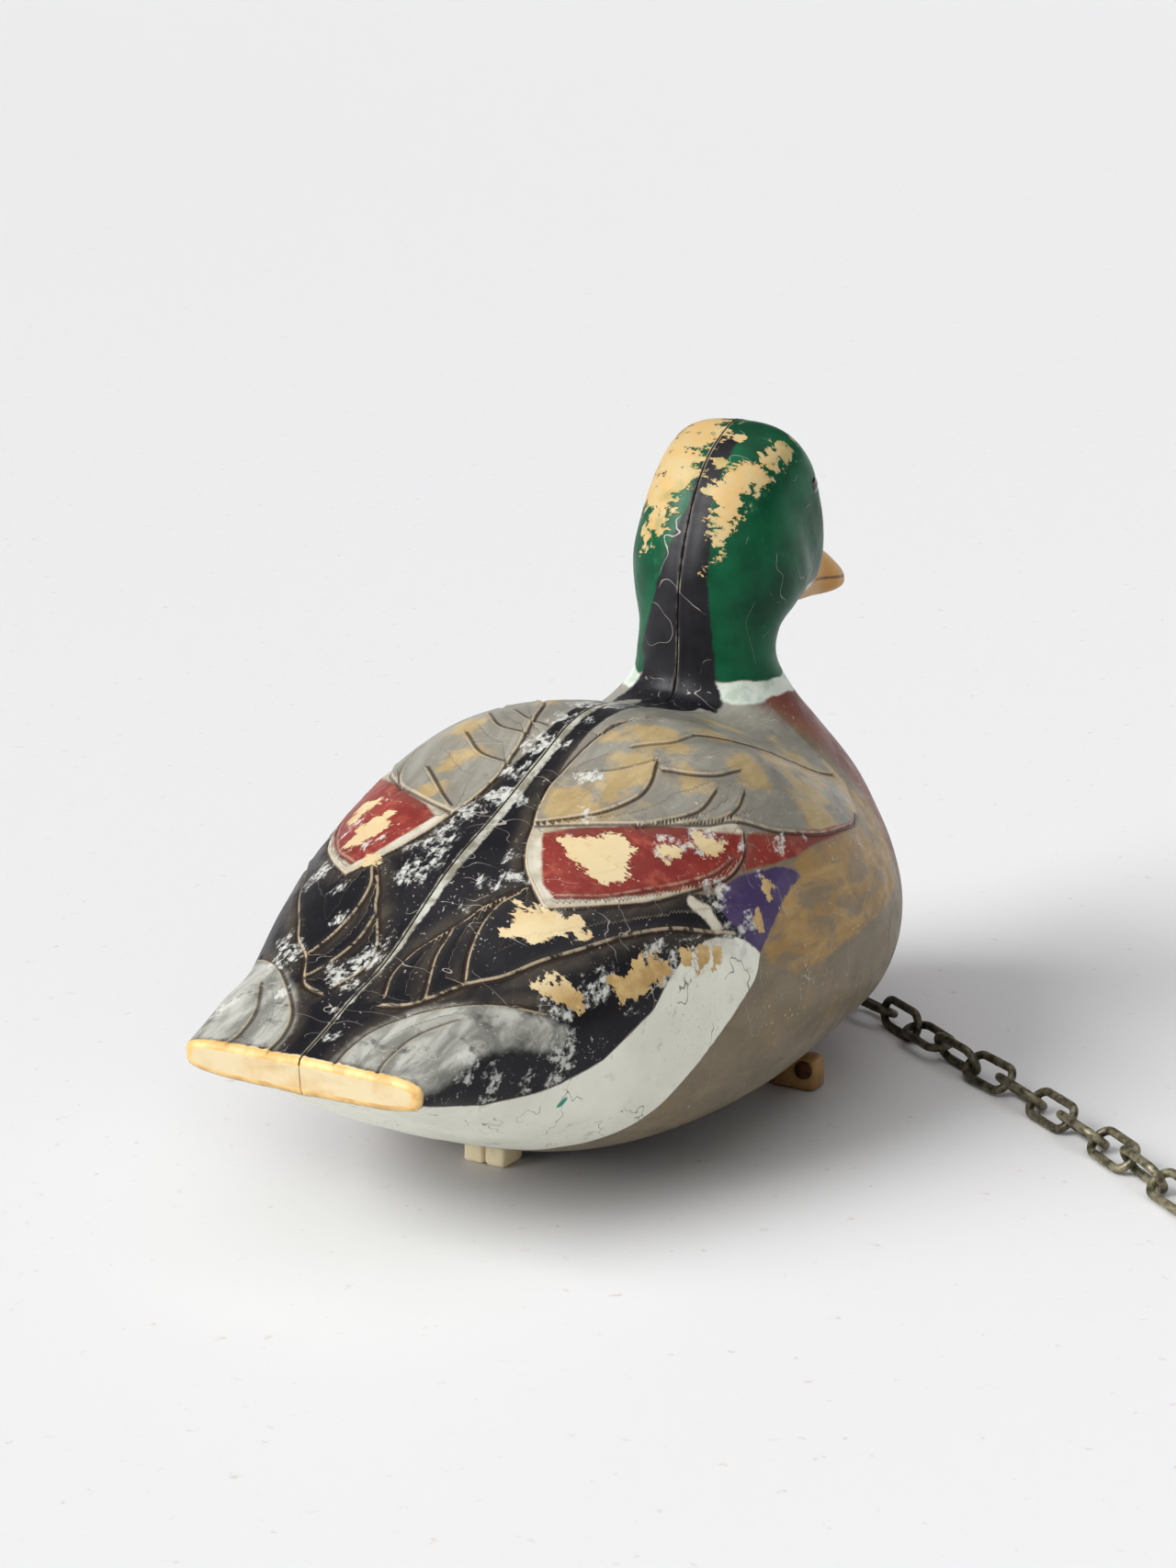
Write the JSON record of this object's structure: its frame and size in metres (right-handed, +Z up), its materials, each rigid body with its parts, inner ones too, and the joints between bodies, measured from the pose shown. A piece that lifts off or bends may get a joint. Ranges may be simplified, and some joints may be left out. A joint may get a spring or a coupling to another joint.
{
  "type": "floating duck decoy",
  "caption": "Hollow moulded drake decoy in half shells, standing on small feet, with a mooring chain hooked to a staple under its breast.",
  "frame": {"origin": "on the ground, under the middle of the decoy's bounding box without its chain", "axes": "+Z up, -Y towards the bill, +X towards the duck's own left side"},
  "size_m": [0.3247, 0.35, 0.219],
  "materials": {
    "shell": "cream moulded plastic under worn paint in black, grey, red-brown and green",
    "eye": "black, polished",
    "fastener": "rusty iron",
    "plate": "dull blue-grey sheet metal",
    "chain": "weathered galvanised wire, darker near the decoy"
  },
  "bodies": {
    "decoy": {"left_shell": "shell", "right_shell": "shell", "left_eye": "eye", "right_eye": "eye", "left_foot_rivet": "fastener", "right_foot_rivet": "fastener", "ballast_plate": "plate", "left_rear_plate_screw": "fastener", "left_front_plate_screw": "fastener", "right_rear_plate_screw": "fastener", "right_front_plate_screw": "fastener", "mooring_staple": "fastener"},
    "link_01": {"chain_link_01": "chain"},
    "link_02": {"chain_link_02": "chain"},
    "link_03": {"chain_link_03": "chain"},
    "link_04": {"chain_link_04": "chain"},
    "link_05": {"chain_link_05": "chain"},
    "link_06": {"chain_link_06": "chain"},
    "link_07": {"chain_link_07": "chain"},
    "link_08": {"chain_link_08": "chain"},
    "link_09": {"chain_link_09": "chain"},
    "link_10": {"chain_link_10": "chain"},
    "link_11": {"chain_link_11": "chain"},
    "link_12": {"chain_link_12": "chain"},
    "link_13": {"chain_link_13": "chain"},
    "link_14": {"chain_link_14": "chain"},
    "link_15": {"chain_link_15": "chain"}
  },
  "joints": [
    {"name": "staple_to_link_01", "type": "hinge", "parent": "decoy", "child": "link_01", "pos_m": [0, -0.12008, 0.01792], "axis": [1, 0, 0], "range_deg": [-45, 40]},
    {"name": "link_01_to_link_02", "type": "hinge", "parent": "link_01", "child": "link_02", "pos_m": [0, -0.13422, 0.00378], "axis": [0, -0.7071, 0.7071], "range_deg": [-15, 40]},
    {"name": "link_02_to_link_03", "type": "hinge", "parent": "link_02", "child": "link_03", "pos_m": [-0.02, -0.13422, 0.0051], "axis": [0, 0.7071, 0.7071], "range_deg": [-60, 60]},
    {"name": "link_03_to_link_04", "type": "hinge", "parent": "link_03", "child": "link_04", "pos_m": [-0.03913, -0.12837, 0.0055], "axis": [0.1677, 0.5485, -0.8192], "range_deg": [-60, 25]},
    {"name": "link_04_to_link_05", "type": "hinge", "parent": "link_04", "child": "link_05", "pos_m": [-0.05662, -0.11868, 0.0058], "axis": [-0.4394, -0.7927, -0.4226], "range_deg": [-60, 60]},
    {"name": "link_05_to_link_06", "type": "hinge", "parent": "link_05", "child": "link_06", "pos_m": [-0.073, -0.1072, 0.0062], "axis": [-0.0996, -0.1422, 0.9848], "range_deg": [-40, 60]},
    {"name": "link_06_to_link_07", "type": "hinge", "parent": "link_06", "child": "link_07", "pos_m": [-0.08897, -0.09517, 0.0059], "axis": [0.596, 0.7909, -0.1392], "range_deg": [-60, 60]},
    {"name": "link_07_to_link_08", "type": "hinge", "parent": "link_07", "child": "link_08", "pos_m": [-0.10575, -0.08428, 0.00585], "axis": [-0.2215, -0.3411, -0.9135], "range_deg": [-50, 50]},
    {"name": "link_08_to_link_09", "type": "hinge", "parent": "link_08", "child": "link_09", "pos_m": [-0.12271, -0.07368, 0.0054], "axis": [0.3747, 0.5997, -0.7071], "range_deg": [-60, 60]},
    {"name": "link_09_to_link_10", "type": "hinge", "parent": "link_09", "child": "link_10", "pos_m": [-0.13889, -0.06192, 0.005], "axis": [0.4503, 0.6197, 0.6428], "range_deg": [-60, 60]},
    {"name": "link_10_to_link_11", "type": "hinge", "parent": "link_10", "child": "link_11", "pos_m": [-0.15507, -0.05017, 0.005], "axis": [-0.4009, -0.5517, 0.7314], "range_deg": [-60, 60]},
    {"name": "link_11_to_link_12", "type": "hinge", "parent": "link_11", "child": "link_12", "pos_m": [-0.17104, -0.03813, 0.005], "axis": [-0.461, -0.6118, -0.6428], "range_deg": [-60, 60]},
    {"name": "link_12_to_link_13", "type": "hinge", "parent": "link_12", "child": "link_13", "pos_m": [-0.18659, -0.02554, 0.0051], "axis": [0.4603, 0.5684, -0.682], "range_deg": [-60, 60]},
    {"name": "link_13_to_link_14", "type": "hinge", "parent": "link_13", "child": "link_14", "pos_m": [-0.20191, -0.01269, 0.0056], "axis": [0.3214, 0.383, 0.866], "range_deg": [-60, 60]},
    {"name": "link_14_to_link_15", "type": "hinge", "parent": "link_14", "child": "link_15", "pos_m": [-0.21767, -0.00037, 0.0052], "axis": [-0.4716, -0.6037, 0.6428], "range_deg": [-60, 60]}
  ]
}
